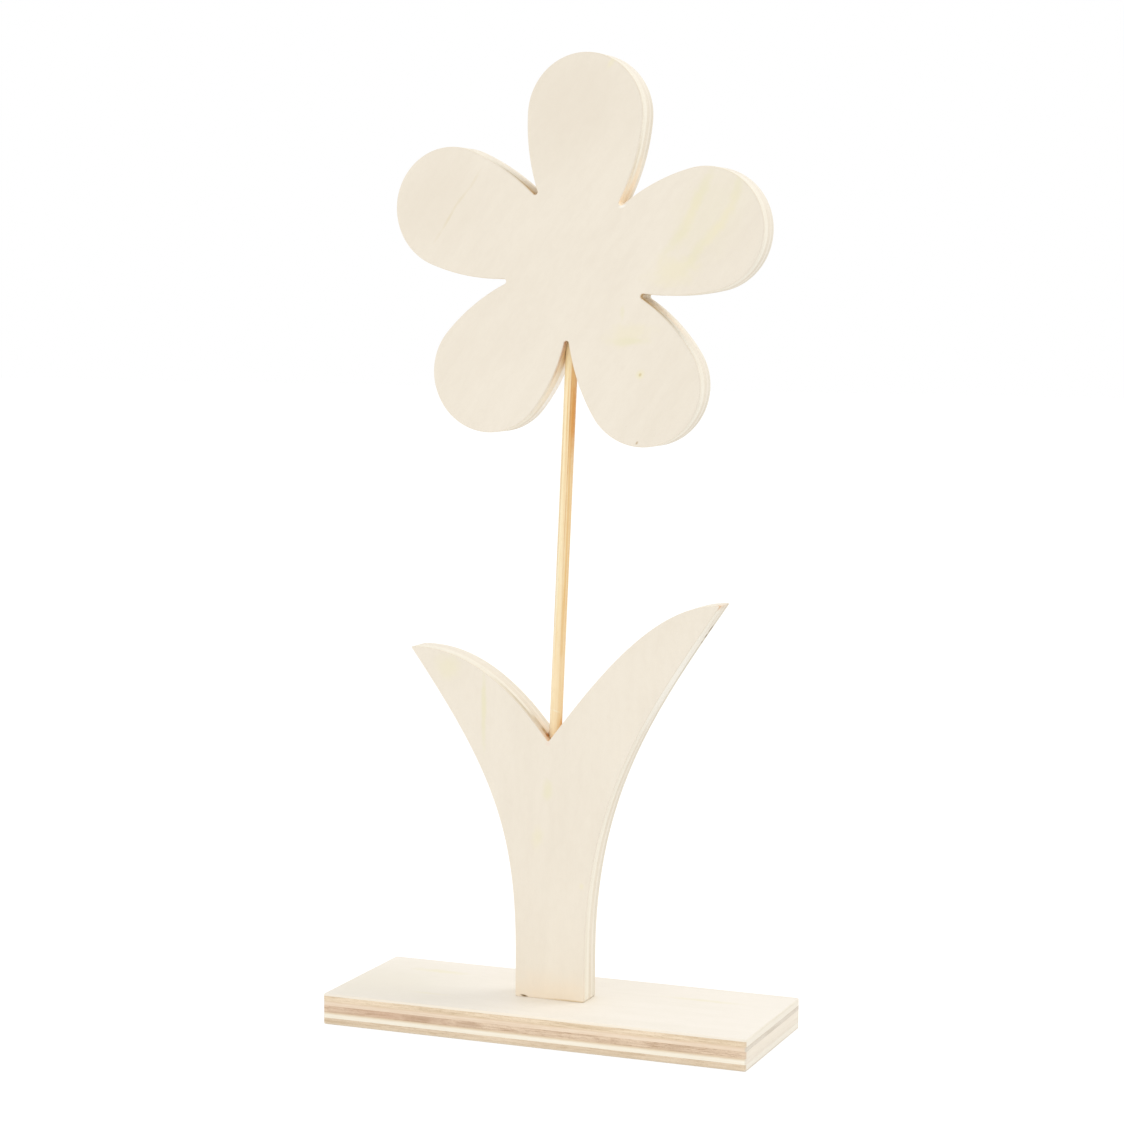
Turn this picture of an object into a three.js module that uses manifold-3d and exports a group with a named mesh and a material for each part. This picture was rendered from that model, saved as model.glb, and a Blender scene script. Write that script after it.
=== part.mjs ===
// A free-standing wooden flower: a plywood base board, a plywood board sawn as a forked stalk with two leaves,
// a round stick that rises from the fork, and a plywood flower with five petals on the stick.
// Millimetres, +Z up. The origin is on the underside, in the middle of the base board. The front faces -Y.
import * as THREE from 'three';
import Module from 'manifold-3d';
import { mergeVertices } from 'three/addons/utils/BufferGeometryUtils.js';

// The plywood sheet that all three boards are sawn from: the thickness of each ply
const pinkFaceVeneer = 0.75;
const pinkCrossband = 1.625;
const pinkInnerPly = 1.5;
const corePly = 2.125;
const whiteInnerPly = 1.875;
const whiteCrossband = 1.5;
const whiteFaceVeneer = 0.625;

// Base board
const baseLength = 143;
const baseDepth = 55;

// Leaf board, drawn from the middle of its foot: x to the right, y up
const footWidth = 23.7;
const footStraight = 13.6;
const leftTip = [-49.0, 111.3];
const rightTip = [55.9, 129.2];
const fork = [-1.0, 83.1];

// The pull points of the leaves' curved edges. An outer edge rises straight from the foot before it bends away.
const leftOuterRise = 54.5;
const leftOuterPull = [-20.4, 72.9];
const leftInnerPulls = [[-30.7, 112.5], [-14.9, 101.4]];
const rightInnerPulls = [[13.3, 101.7], [33.8, 129.3]];
const rightOuterPull = [31.6, 93.9];
const rightOuterRise = 66.1;

// Where the leaf board stands on the base, from the base's middle
const footLeftOfMiddle = 1.6;
const footFrontOfMiddle = 1.0;

// Flower board: five petals and the notches between them, clockwise from the top. The design is drawn by hand,
// so each has its own reach from the flower's middle and its own small turn, in degrees, from an even fifth.
const petalReaches = [46.0, 44.2, 44.1, 44.4, 45.1];
const petalTurns = [-0.4, -0.6, -0.4, -0.9, 0.1];
const petalRadius = 19.1;
const notchReaches = [23.6, 24.4, 24.1, 23.4, 24.9];
const notchTurns = [-0.7, 0.7, 0.3, -0.2, 0.9];
const sawCutRadius = 0.8;

// How far past its widest place, in degrees, the side of a petal leaves its round end
const petalSideTurn = 1;

// Stick: its axis passes close by the fork and leans to the right. The flower is turned further the same way.
const stickDiameter = 4;
const stickShown = 127.1;
const stickRightOfFork = 0.5;
const stickLean = 2.3;
const flowerTurn = 4.8;
const stickEndChamfer = 0.3;
const leafBoreDepth = 25;
const flowerBoreDepth = 20;

// Wood screw from below, with a countersunk head and a cross recess
const screwDiameter = 3.5;
const screwLength = 30;
const screwPointLength = 5;
const screwHeadDiameter = 7;
const screwHeadLip = 0.4;
const screwHeadSunk = 0.4;
const recessWidth = 3.6;
const recessSlot = 0.9;
const recessDepth = 1.6;

// Clearances, and how far a cutter reaches past the face that it opens
const boreClearance = 0.2;
const boreEndGap = 0.3;
const screwClearance = 0.25;
const screwTipGap = 1;
const cutterOvershoot = 1;

// Fineness of the round forms
const petalEndSteps = 19;
const sideArcSteps = 5;
const sawCutSteps = 4;
const leafCurveSteps = 16;
const roundSides = 24;

const boardThickness = pinkFaceVeneer + pinkCrossband + pinkInnerPly + corePly + whiteInnerPly + whiteCrossband
  + whiteFaceVeneer;
const boreRadius = stickDiameter / 2 + boreClearance;

// Where the stick's axis leaves the leaf board
const stemFoot = [fork[0] + stickRightOfFork, fork[1]];

// The cone of the screw's head has straight sides at 45 degrees
const screwHeadCone = (screwHeadDiameter - screwDiameter) / 2;
const screwHoleRadius = screwDiameter / 2 + screwClearance;

const degrees = THREE.MathUtils.degToRad;
const vector = ([x, y]) => new THREE.Vector2(x, y);

const wasm = await Module();
wasm.setup();

// Materials
const wood = (color, roughness = 0.75) => new THREE.MeshStandardMaterial({ color, roughness, metalness: 0 });
const materials = {
  face: wood(0xf2e9d8),
  crossband: wood(0xe2c8a2),
  pinkInner: wood(0xecd6be),
  core: wood(0xcfb48c),
  whiteInner: wood(0xf6efdc),
  stick: wood(0xe8c48a, 0.6),
  screw: new THREE.MeshStandardMaterial({ color: 0xd8cfa8, roughness: 0.35, metalness: 1 }),
};

// The sheet's plies, from its pink side to its white side
const sheet = [
  { ply: 'pink_face_veneer', thickness: pinkFaceVeneer, material: materials.face },
  { ply: 'pink_crossband', thickness: pinkCrossband, material: materials.crossband },
  { ply: 'pink_inner_ply', thickness: pinkInnerPly, material: materials.pinkInner },
  { ply: 'core_ply', thickness: corePly, material: materials.core },
  { ply: 'white_inner_ply', thickness: whiteInnerPly, material: materials.whiteInner },
  { ply: 'white_crossband', thickness: whiteCrossband, material: materials.crossband },
  { ply: 'white_face_veneer', thickness: whiteFaceVeneer, material: materials.face },
];

// Booleans
function toSolid(geometry) {
  const plain = geometry.clone();
  plain.deleteAttribute('normal');
  plain.deleteAttribute('uv');
  const merged = mergeVertices(plain, 1e-5);
  const vertProperties = new Float32Array(merged.attributes.position.array);
  const triVerts = new Uint32Array(merged.index.array);
  return new wasm.Manifold(new wasm.Mesh({ numProp: 3, vertProperties, triVerts }));
}

function toGeometry(solid) {
  const mesh = solid.getMesh();
  const geometry = new THREE.BufferGeometry();
  geometry.setAttribute('position', new THREE.BufferAttribute(mesh.vertProperties, 3));
  geometry.setIndex(new THREE.BufferAttribute(mesh.triVerts, 1));
  geometry.computeVertexNormals();
  return geometry;
}

function cutFrom(geometry, cutters) {
  let solid = toSolid(geometry);
  for (const cutter of cutters) {
    solid = solid.subtract(toSolid(cutter));
  }
  return toGeometry(solid);
}

// A cylinder from one point to another in the board's plane, at mid-thickness
function boreCutter(radius, from, to) {
  const along = to.clone().sub(from);
  const middle = from.clone().add(to).multiplyScalar(0.5);
  const cylinder = new THREE.CylinderGeometry(radius, radius, along.length(), roundSides);
  cylinder.rotateZ(along.angle() - Math.PI / 2);
  cylinder.translate(middle.x, middle.y, 0);
  return cylinder;
}

// One ply: the outline between two heights, which neighbouring plies share exactly
function plyGeometry(outline, low, high) {
  const shape = new THREE.Shape(outline);
  const geometry = new THREE.ExtrudeGeometry(shape, { depth: high - low, bevelEnabled: false });
  const position = geometry.attributes.position;
  for (let i = 0; i < position.count; i++) {
    position.setZ(i, position.getZ(i) > 0 ? high : low);
  }
  return geometry;
}

// A board: the outline cut from the whole sheet and centred on z = 0. The first of the given plies lies lowest.
function board(name, outline, plies, cutters) {
  const group = new THREE.Group();
  let low = -boardThickness / 2;
  for (const { ply, thickness, material } of plies) {
    const high = low + thickness;
    const geometry = cutFrom(plyGeometry(outline, low, high), cutters);
    const mesh = new THREE.Mesh(geometry, material);
    mesh.name = `${name}_${ply}`;
    group.add(mesh);
    low = high;
  }
  return group;
}

// Outlines
function arc(centre, radius, from, to, clockwise, steps) {
  return new THREE.EllipseCurve(centre.x, centre.y, radius, radius, from, to, clockwise).getPoints(steps);
}

function withoutRepeats(points) {
  return points.filter((point, i) => point.distanceTo(points.at(i - 1)) > 1e-4);
}

function baseOutline() {
  const right = baseLength / 2;
  const back = baseDepth / 2;
  return [[-right, -back], [right, -back], [right, back], [-right, back]].map(vector);
}

function leafOutline() {
  const left = -footWidth / 2;
  const right = footWidth / 2;
  const edges = [
    [[left, footStraight], [left, leftOuterRise], leftOuterPull, leftTip],
    [leftTip, ...leftInnerPulls, fork],
    [fork, ...rightInnerPulls, rightTip],
    [rightTip, rightOuterPull, [right, rightOuterRise], [right, footStraight]],
  ];
  const points = [new THREE.Vector2(right, 0), new THREE.Vector2(left, 0)];
  for (const edge of edges) {
    points.push(...new THREE.CubicBezierCurve(...edge.map(vector)).getPoints(leafCurveSteps));
  }
  return withoutRepeats(points);
}

function polar(angle, distance) {
  return new THREE.Vector2(distance * Math.cos(angle), distance * Math.sin(angle));
}

// Petals and notches with their places, clockwise from the top
function flowerPlan() {
  const pitch = 2 * Math.PI / petalReaches.length;
  const ends = petalReaches.map((reach, i) => {
    const axis = Math.PI / 2 - i * pitch - degrees(petalTurns[i]);
    return { axis, centre: polar(axis, reach) };
  });
  const sawCuts = notchReaches.map((reach, i) => {
    const axis = Math.PI / 2 - (i + 0.5) * pitch - degrees(notchTurns[i]);
    return polar(axis, reach + sawCutRadius);
  });
  return { ends, sawCuts };
}

// One side of a petal: a wide arc that leaves the petal's end circle a little past its widest place and
// touches the round end of the saw cut. It runs from the end circle to the saw cut. The hand is 1 on the right
// side of the petal and -1 on its left side.
function petalSide({ axis, centre }, sawCut, hand) {
  const start = axis - hand * (Math.PI / 2 + degrees(petalSideTurn));
  const outwards = polar(start, 1);
  const begins = centre.clone().addScaledVector(outwards, petalRadius);
  const span = sawCut.clone().sub(begins);
  const radius = (span.lengthSq() - sawCutRadius ** 2) / (2 * (sawCutRadius - span.dot(outwards)));
  const sideCentre = begins.addScaledVector(outwards, -radius);
  const ends = sawCut.clone().sub(sideCentre).angle();
  return { start, sideCentre, points: arc(sideCentre, radius, start, ends, hand > 0, sideArcSteps) };
}

// The whole flower, drawn from its lowest notch, which takes the stick
function flowerOutline() {
  const { ends, sawCuts } = flowerPlan();
  const sides = ends.map((end, i) => ({
    left: petalSide(end, sawCuts.at(i - 1), -1),
    right: petalSide(end, sawCuts[i], 1),
  }));
  const points = [];
  sides.forEach(({ left, right }, i) => {
    const next = sides[(i + 1) % sides.length].left;
    const sawCut = sawCuts[i];
    const cutStarts = right.sideCentre.clone().sub(sawCut).angle();
    const cutEnds = next.sideCentre.clone().sub(sawCut).angle();
    points.push(
      ...left.points.reverse(),
      ...arc(ends[i].centre, petalRadius, left.start, right.start, true, petalEndSteps),
      ...right.points,
      ...arc(sawCut, sawCutRadius, cutStarts, cutEnds, false, sawCutSteps),
    );
  });
  const lowest = Math.floor(notchReaches.length / 2);
  const notch = new THREE.Vector2(0, -notchReaches[lowest]);
  return withoutRepeats(points).map((point) => point.sub(notch));
}

// The bore for the stick, with the clear way that the stick needs outside it. It runs from one distance along
// the stick's axis to another. The axis goes through the origin and leans by the turn.
function stickBore(origin, turn, from, to) {
  const [start, end] = [from, to].map((distance) => (
    new THREE.Vector2(0, distance).rotateAround(new THREE.Vector2(), degrees(turn)).add(origin)));
  return boreCutter(boreRadius, start, end);
}

function baseBoard() {
  const sinkRadius = screwHeadDiameter / 2 + screwClearance;
  const sinkDepth = screwHeadSunk + screwHeadLip;
  const top = boardThickness + cutterOvershoot;
  const profile = [
    [0, -cutterOvershoot], [sinkRadius, -cutterOvershoot], [sinkRadius, sinkDepth],
    [screwHoleRadius, sinkDepth + screwHeadCone], [screwHoleRadius, top], [0, top],
  ];
  const screwHole = new THREE.LatheGeometry(profile.map(vector), roundSides);
  screwHole.rotateX(Math.PI / 2);
  screwHole.translate(-footLeftOfMiddle, -footFrontOfMiddle, -boardThickness / 2);
  const group = board('base', baseOutline(), [...sheet].reverse(), [screwHole]);
  group.position.z = boardThickness / 2;
  return group;
}

function leafBoard() {
  const bore = stickBore(vector(stemFoot), -stickLean, -leafBoreDepth, stickShown);
  const pilotDepth = screwHeadSunk + screwLength + screwTipGap - boardThickness;
  const pilot = boreCutter(screwHoleRadius, vector([0, -cutterOvershoot]), vector([0, pilotDepth]));
  return board('leaf', leafOutline(), sheet, [bore, pilot]);
}

// The flower is drawn from the notch that sits on the stick's axis
function flowerBoard() {
  const bore = stickBore(new THREE.Vector2(), flowerTurn - stickLean, -stickShown, flowerBoreDepth);
  return board('flower', flowerOutline(), sheet, [bore]);
}

// The stick, along y from where it leaves the leaf board
function stick() {
  const radius = stickDiameter / 2;
  const low = boreEndGap - leafBoreDepth;
  const high = stickShown + flowerBoreDepth - boreEndGap;
  const profile = [
    [0, low], [radius - stickEndChamfer, low], [radius, low + stickEndChamfer],
    [radius, high - stickEndChamfer], [radius - stickEndChamfer, high], [0, high],
  ];
  const mesh = new THREE.Mesh(new THREE.LatheGeometry(profile.map(vector), roundSides), materials.stick);
  mesh.name = 'stem_stick';
  return mesh;
}

// The screw points up. Each slot of its recess is a box centred on the head's face, so half of its height cuts.
function baseScrew() {
  const radius = screwDiameter / 2;
  const headRadius = screwHeadDiameter / 2;
  const profile = [
    [0, 0], [headRadius, 0], [headRadius, screwHeadLip], [radius, screwHeadLip + screwHeadCone],
    [radius, screwLength - screwPointLength], [0, screwLength],
  ];
  const body = new THREE.LatheGeometry(profile.map(vector), roundSides);
  const slots = [
    new THREE.BoxGeometry(recessWidth, 2 * recessDepth, recessSlot),
    new THREE.BoxGeometry(recessSlot, 2 * recessDepth, recessWidth),
  ];
  const mesh = new THREE.Mesh(cutFrom(body, slots), materials.screw);
  mesh.name = 'base_screw';
  mesh.rotation.x = Math.PI / 2;
  mesh.position.set(-footLeftOfMiddle, -footFrontOfMiddle, screwHeadSunk);
  return mesh;
}

// What stands on the base, in a front view: x to the right, y up, z towards the front
function standingParts() {
  const frontView = new THREE.Group();
  frontView.rotation.x = Math.PI / 2;
  frontView.position.set(-footLeftOfMiddle, -footFrontOfMiddle, boardThickness);
  const stem = new THREE.Group();
  stem.position.set(...stemFoot, 0);
  stem.rotation.z = degrees(-stickLean);
  const flower = flowerBoard();
  flower.position.y = stickShown;
  flower.rotation.z = degrees(stickLean - flowerTurn);
  stem.add(stick(), flower);
  frontView.add(leafBoard(), stem);
  return frontView;
}

const woodenFlower = new THREE.Group();
woodenFlower.add(baseBoard(), baseScrew(), standingParts());

export default woodenFlower;
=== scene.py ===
# A free-standing plywood flower: a foot board, a board sawn as a forked stalk with two leaves, a round stick
# and a flower with five petals. Drawing sizes are in millimetres and become metres where a piece is finished.
import math
import bmesh
import bpy
from mathutils import Matrix, Vector


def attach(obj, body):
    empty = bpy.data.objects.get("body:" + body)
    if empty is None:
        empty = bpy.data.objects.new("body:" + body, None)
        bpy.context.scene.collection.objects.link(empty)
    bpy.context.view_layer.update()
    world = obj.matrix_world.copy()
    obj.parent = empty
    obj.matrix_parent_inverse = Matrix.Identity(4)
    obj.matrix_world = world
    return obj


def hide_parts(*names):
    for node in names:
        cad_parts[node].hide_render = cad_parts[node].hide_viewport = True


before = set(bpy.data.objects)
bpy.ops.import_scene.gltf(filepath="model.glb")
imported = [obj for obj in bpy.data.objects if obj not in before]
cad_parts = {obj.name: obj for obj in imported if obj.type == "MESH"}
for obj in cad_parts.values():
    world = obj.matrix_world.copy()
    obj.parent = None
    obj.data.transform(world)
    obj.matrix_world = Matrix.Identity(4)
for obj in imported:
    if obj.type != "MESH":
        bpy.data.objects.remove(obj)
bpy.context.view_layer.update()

MM = 0.001
IN_METRES = Matrix.Scale(MM, 4)

# The photographer's place in metres, and the lens and its frame in millimetres
CAMERA_PLACE = (0.3200, -0.8022, 0.2324)
CAMERA_YAW = math.radians(21.78)
CAMERA_PITCH = math.radians(5.44)
CAMERA_ROLL = math.radians(0.33)
CAMERA_LENS = 87.66
CAMERA_SENSOR = 36.0
CAMERA_NEAREST = 0.01

# The sheet's plies from its pink side to its white side, in millimetres
SHEET = (
    ("pink_face_veneer", 0.75),
    ("pink_crossband", 1.625),
    ("pink_inner_ply", 1.5),
    ("core_ply", 2.125),
    ("white_inner_ply", 1.875),
    ("white_crossband", 1.5),
    ("white_face_veneer", 0.625),
)
SHEET_THICKNESS = sum(thickness for ply, thickness in SHEET)
CROSSWISE_PLIES = ("pink_crossband", "core_ply", "white_crossband")
BORED_PLIES = ("pink_inner_ply", "core_ply", "white_inner_ply")

# Foot board
BASE_LENGTH = 143.0
BASE_DEPTH = 55.0
BASE_CORNER = 0.7

# Leaf board, drawn from the middle of its foot: each point with the pull points before and after it
LEAF_DRAWING = (
    ((-11.85, 0.0), (-11.85, 0.0), (-11.85, 0.0)),
    ((-11.85, 13.6), (-11.85, 13.6), (-11.85, 54.5)),
    ((-49.0, 111.3), (-20.4, 72.9), (-30.7, 112.5)),
    ((-1.0, 83.1), (-14.9, 101.4), (13.3, 101.7)),
    ((55.9, 129.2), (33.8, 129.3), (31.6, 93.9)),
    ((11.85, 13.6), (11.85, 66.1), (11.85, 13.6)),
    ((11.85, 0.0), (11.85, 0.0), (11.85, 0.0)),
)
LEAF_CURVE_STEPS = 40
FORK = (-1.0, 83.1)
FOOT_PLACE = (-1.6, -1.0)

# Flower board: reaches from its middle and small turns in degrees, clockwise from the top petal
PETAL_REACHES = (46.0, 44.2, 44.1, 44.4, 45.1)
PETAL_TURNS = (-0.4, -0.6, -0.4, -0.9, 0.1)
PETAL_RADIUS = 19.1
PETAL_SIDE_TURN = math.radians(1)
NOTCH_REACHES = (23.6, 24.4, 24.1, 23.4, 24.9)
NOTCH_TURNS = (-0.7, 0.7, 0.3, -0.2, 0.9)
STICK_NOTCH = 2
SAW_CUT_RADIUS = 0.8
OUTLINE_STEP = 0.7
SAW_CUT_STEPS = 8

# Stick
STICK_RADIUS = 2.0
STICK_SHOWN = 127.1
STICK_RIGHT_OF_FORK = 0.5
STICK_LEAN = math.radians(2.3)
FLOWER_TURN = math.radians(4.8)
STICK_IN_LEAF = 24.7
STICK_IN_FLOWER = 19.7
STICK_CHAMFER = 0.3
BORE_RADIUS = 2.2
LEAF_BORE_DEPTH = 25.0
FLOWER_BORE_DEPTH = 20.0

# Screw from below
SCREW_RADIUS = 1.75
SCREW_LENGTH = 30.0
SCREW_POINT = 5.0
SCREW_HEAD_RADIUS = 3.5
SCREW_HEAD_LIP = 0.4
SCREW_SUNK = 0.4
SCREW_CLEARANCE = 0.25
SCREW_TIP_GAP = 1.0
RECESS_WIDTH = 3.6
RECESS_SLOT = 0.9
RECESS_DEPTH = 1.6

# Sanded and sawn edges
ARRIS_RADIUS = 0.42
ARRIS_STEPS = 4
GLUE_LINE = 0.04
TIP_EASING = 0.6
FORK_EASING = 0.6
CORNER_ANGLE = math.radians(40)
CORNER_STEPS = 3
SHARP_ANGLE = math.radians(38)
LARGEST_SMOOTH_FACE = 10.0

# Drawing and cutting: the sides of round pieces, the angle up to which a line counts as straight, how close
# points are welded, what counts as one height, and how far a tool reaches past the wood, in millimetres
ROUND_SIDES = 64
STRAIGHT_ANGLE = math.radians(0.05)
OUTLINE_WELD = 0.01
TURNED_WELD = 0.0001
SAME_HEIGHT = 0.001
TOOL_OVERLAP = 1.0


def above_foot(height):
    """The middle of the leaf board's foot, at a height in millimetres."""
    return Matrix.Translation((FOOT_PLACE[0] * MM, FOOT_PLACE[1] * MM, height * MM))


def sheet_place():
    """The leaf board's drawing plane in the room: x to the right, y up, z towards the front."""
    return above_foot(SHEET_THICKNESS) @ Matrix.Rotation(math.pi / 2, 4, "X") @ IN_METRES


def stem_place():
    """The stick's own place: y runs along it from where it leaves the leaf board."""
    foot = (FORK[0] + STICK_RIGHT_OF_FORK, FORK[1], 0)
    return sheet_place() @ Matrix.Translation(foot) @ Matrix.Rotation(-STICK_LEAN, 4, "Z")


def flower_place():
    """The flower's drawing plane, which starts at its bottom notch, where the stick enters it."""
    turn = Matrix.Rotation(STICK_LEAN - FLOWER_TURN, 4, "Z")
    return stem_place() @ Matrix.Translation((0, STICK_SHOWN, 0)) @ turn


def base_place():
    """The foot board's drawing plane, in the middle of its thickness."""
    return Matrix.Translation((0, 0, SHEET_THICKNESS / 2 * MM)) @ IN_METRES


def ray(angle):
    """A step of length 1 at an angle from the drawing's x."""
    return Vector((math.cos(angle), math.sin(angle)))


def flower_plan():
    """The directions of the petals and the middles of the notches' round ends, clockwise from the top."""
    pitch = math.tau / len(PETAL_REACHES)
    axes = [math.pi / 2 - i * pitch - math.radians(turn) for i, turn in enumerate(PETAL_TURNS)]
    saw_cuts = [
        ray(math.pi / 2 - (i + 0.5) * pitch - math.radians(turn)) * (reach + SAW_CUT_RADIUS)
        for i, (turn, reach) in enumerate(zip(NOTCH_TURNS, NOTCH_REACHES))
    ]
    return axes, saw_cuts


# Camera
def place_camera():
    cos_pitch = math.cos(CAMERA_PITCH)
    back = Vector((math.sin(CAMERA_YAW), -math.cos(CAMERA_YAW), 0)) * cos_pitch
    back.z = math.sin(CAMERA_PITCH)
    right = Vector((math.cos(CAMERA_YAW), math.sin(CAMERA_YAW), 0))
    up = back.cross(right)
    across = math.cos(CAMERA_ROLL) * right + math.sin(CAMERA_ROLL) * up
    upwards = math.cos(CAMERA_ROLL) * up - math.sin(CAMERA_ROLL) * right
    lens = bpy.data.cameras.new("photo camera")
    lens.lens = CAMERA_LENS
    lens.sensor_width = CAMERA_SENSOR
    lens.clip_start = CAMERA_NEAREST
    camera = bpy.data.objects.new("photo camera", lens)
    turn = Matrix((across, upwards, back)).transposed().to_4x4()
    camera.matrix_world = Matrix.Translation(CAMERA_PLACE) @ turn
    bpy.context.scene.collection.objects.link(camera)
    bpy.context.scene.camera = camera


# Shader helpers
def paint(red, green, blue):
    """A colour as it is read off a screen, 0 to 255, turned into the light that the shaders work in."""
    def light(value):
        share = value / 255
        return share / 12.92 if share <= 0.04045 else ((share + 0.055) / 1.055) ** 2.4
    return (light(red), light(green), light(blue), 1.0)


def grey(level):
    """A neutral light of the given strength."""
    return (level, level, level, 1.0)


def empty_tree(owner):
    """The node tree of a material or a world, with nothing in it yet."""
    owner.use_nodes = True
    owner.node_tree.nodes.clear()
    return owner.node_tree


def add_node(tree, kind, inputs=(), **settings):
    """Adds a node, sets it up, and feeds its sockets from other sockets or with plain values."""
    made = tree.nodes.new("ShaderNode" + kind)
    for key, value in settings.items():
        setattr(made, key, value)
    for socket, value in dict(inputs).items():
        if isinstance(value, bpy.types.NodeSocket):
            tree.links.new(value, made.inputs[socket])
        else:
            made.inputs[socket].default_value = value
    return made


def calculate(tree, operation, first, second=0.0):
    return add_node(tree, "Math", {0: first, 1: second}, operation=operation).outputs[0]


def add_up(tree, parts, start=0.0, clamp=False):
    """A sum of values, each times its own weight, on top of a start."""
    total = start
    for value, weight in parts:
        made = add_node(tree, "Math", {0: value, 1: weight, 2: total},
                        operation="MULTIPLY_ADD", use_clamp=clamp)
        total = made.outputs[0]
    return total


def between(tree, value, low, high, to_low=0.0, to_high=1.0):
    """A soft step of a value from one level to another."""
    made = add_node(tree, "MapRange", {"Value": value, "From Min": low, "From Max": high,
                                       "To Min": to_low, "To Max": to_high}, interpolation_type="SMOOTHSTEP")
    return made.outputs["Result"]


def mix_colours(tree, share, first, second):
    """The first colour where the share is 0, the second where it is 1."""
    made = add_node(tree, "Mix", {0: share, 6: first, 7: second}, data_type="RGBA")
    return made.outputs[2]


def length_of(tree, vector):
    return add_node(tree, "VectorMath", {0: vector}, operation="LENGTH").outputs["Value"]


def facing(tree, normal, direction):
    """How squarely a surface faces a direction or its opposite, from 0 to 1."""
    made = add_node(tree, "VectorMath", {0: normal, 1: direction}, operation="DOT_PRODUCT")
    return calculate(tree, "ABSOLUTE", made.outputs["Value"])


def grain_noise(tree, vector, stretch, detail=2.0, roughness=0.5, distortion=0.0):
    """Noise whose cells have a length of their own along each axis: stretch is in cells per metre."""
    stretched = add_node(tree, "VectorMath", {0: vector, 1: stretch}, operation="MULTIPLY")
    noise = add_node(tree, "TexNoise", {"Vector": stretched.outputs[0], "Scale": 1.0, "Detail": detail,
                                        "Roughness": roughness, "Distortion": distortion})
    return noise.outputs["Fac"]


def seen_rays(tree):
    """1 for what is looked at, also in a reflection or through glass, and 0 for what only gives light."""
    rays = add_node(tree, "LightPath")
    seen = calculate(tree, "MAXIMUM", rays.outputs["Is Camera Ray"], rays.outputs["Is Glossy Ray"])
    return calculate(tree, "MAXIMUM", seen, rays.outputs["Is Transmission Ray"])


def new_group(name, takes, gives):
    tree = bpy.data.node_groups.new(name, "ShaderNodeTree")
    for label, kind in takes:
        tree.interface.new_socket(name=label, in_out="INPUT", socket_type="NodeSocket" + kind)
    for label, kind in gives:
        tree.interface.new_socket(name=label, in_out="OUTPUT", socket_type="NodeSocket" + kind)
    start = tree.nodes.new("NodeGroupInput")
    end = tree.nodes.new("NodeGroupOutput")
    return tree, start.outputs, end.inputs


def use_group(tree, group, inputs):
    return add_node(tree, "Group", inputs, node_tree=group).outputs


# Veneer: how dark its flecks are, how rough it is at its smoothest, and its fine relief, in metres
FLECK_SHADE = 0.35
VENEER_ROUGHNESS = 0.52
VENEER_BUMP = 0.35
VENEER_RELIEF = 0.00006
# Cells per metre in the ragged outline of a mark
RAGGED_CELLS = (260, 260, 260)


def make_veneer_group():
    """Rotary-cut veneer. The vector runs along the grain, across it and through the sheet, in metres.
    End is 1 where the fibres end at the surface, 0 where they run along it. Each shade goes from light to
    dark between two levels of its noise, and has a weight in the whole."""
    takes = [("Vector", "Vector"), ("End", "Float"), ("Long", "Color"), ("Long Dark", "Color"),
             ("Cut", "Color"), ("Cut Dark", "Color")]
    gives = [("Color", "Color"), ("Height", "Float"), ("Roughness", "Float")]
    tree, given, out = new_group("veneer", takes, gives)
    vector = given["Vector"]
    end = given["End"]

    clouds = grain_noise(tree, vector, (22, 48, 900), 3.0, 0.55, 0.8)
    bands = grain_noise(tree, vector, (16, 210, 2600), 3.0, 0.5, 0.3)
    mottle = grain_noise(tree, vector, (240, 520, 1500), 3.0, 0.6, 0.6)
    fibre = grain_noise(tree, vector, (300, 4200, 4200), 2.0)
    pores = grain_noise(tree, vector, (520, 4600, 4600), 1.0)
    long_shade = add_up(tree, (
        (between(tree, clouds, 0.36, 0.68), 0.34),
        (between(tree, bands, 0.36, 0.68), 0.21),
        (between(tree, mottle, 0.38, 0.66), 0.18),
        (fibre, 0.24),
    ), clamp=True)
    along = mix_colours(tree, long_shade, given["Long"], given["Long Dark"])
    flecks = between(tree, pores, 0.70, 0.80)
    along = mix_colours(tree, calculate(tree, "MULTIPLY", flecks, FLECK_SHADE), along, given["Cut Dark"])

    rings = grain_noise(tree, vector, (60, 60, 2000), 3.0, 0.6, 0.3)
    patches = grain_noise(tree, vector, (38, 38, 420), 2.0, 0.5, 0.4)
    dashes = grain_noise(tree, vector, (420, 420, 3000), 2.0, 0.6)
    speckle = grain_noise(tree, vector, (3000, 3000, 3600), 2.0, 0.6)
    cut_shade = add_up(tree, (
        (between(tree, rings, 0.40, 0.62), 0.42),
        (between(tree, patches, 0.42, 0.64), 0.30),
        (between(tree, dashes, 0.46, 0.70), 0.42),
        (between(tree, speckle, 0.45, 0.75), 0.26),
    ), clamp=True)
    across = mix_colours(tree, cut_shade, given["Cut"], given["Cut Dark"])
    tree.links.new(mix_colours(tree, end, along, across), out["Color"])

    long_height = add_up(tree, ((fibre, 0.7), (flecks, -0.8)))
    cut_height = add_up(tree, ((speckle, -1.6), (rings, 1.2)))
    height = add_node(tree, "Mix", {0: end, 2: long_height, 3: cut_height}, data_type="FLOAT")
    tree.links.new(height.outputs[0], out["Height"])
    roughness = add_up(tree, ((end, 0.14), (fibre, 0.16)), VENEER_ROUGHNESS)
    tree.links.new(roughness, out["Roughness"])
    return tree


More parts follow.
